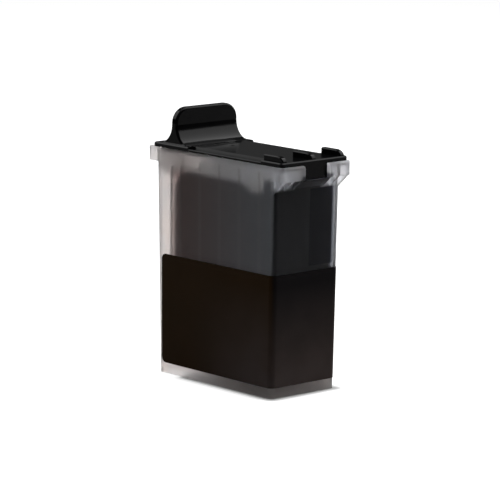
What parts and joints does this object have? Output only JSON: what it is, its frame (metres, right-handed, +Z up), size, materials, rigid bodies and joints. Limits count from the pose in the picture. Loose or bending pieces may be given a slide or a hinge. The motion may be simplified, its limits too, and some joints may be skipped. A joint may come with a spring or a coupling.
{
  "type": "inkjet ink cartridge",
  "caption": "Clear single-colour ink tank with a soaked sponge, a black lid with an upright finger tab, and a bare black wrap label.",
  "frame": {"origin": "middle of the overall length and width, on the surface that the cartridge stands on", "axes": "+X towards the front end, whose ear has the notch and tongue; +Y towards the far long side; +Z up, towards the lid"},
  "size_m": [0.0556, 0.024, 0.0734],
  "materials": {
    "frosted_clear_plastic": "frosted translucent polypropylene, moulded",
    "black_gloss_plastic": "glossy moulded black",
    "black_label_film": "satin printed film, bare",
    "soaked_sponge": "open foam, wet with black ink",
    "felt": "pressed fibre, wet with black ink",
    "woven_steel": "fine woven stainless steel",
    "seal_rubber": "smooth moulded rubber",
    "membrane_film": "thin porous film"
  },
  "bodies": {
    "root": {"tank_body": "frosted_clear_plastic", "lid": "black_gloss_plastic", "label": "black_label_film", "ink_sponge": "soaked_sponge", "filter_screen": "woven_steel", "outlet_wick": "felt", "outlet_seal": "seal_rubber", "fill_plug": "black_gloss_plastic", "vent_membrane": "membrane_film"}
  },
  "joints": []
}
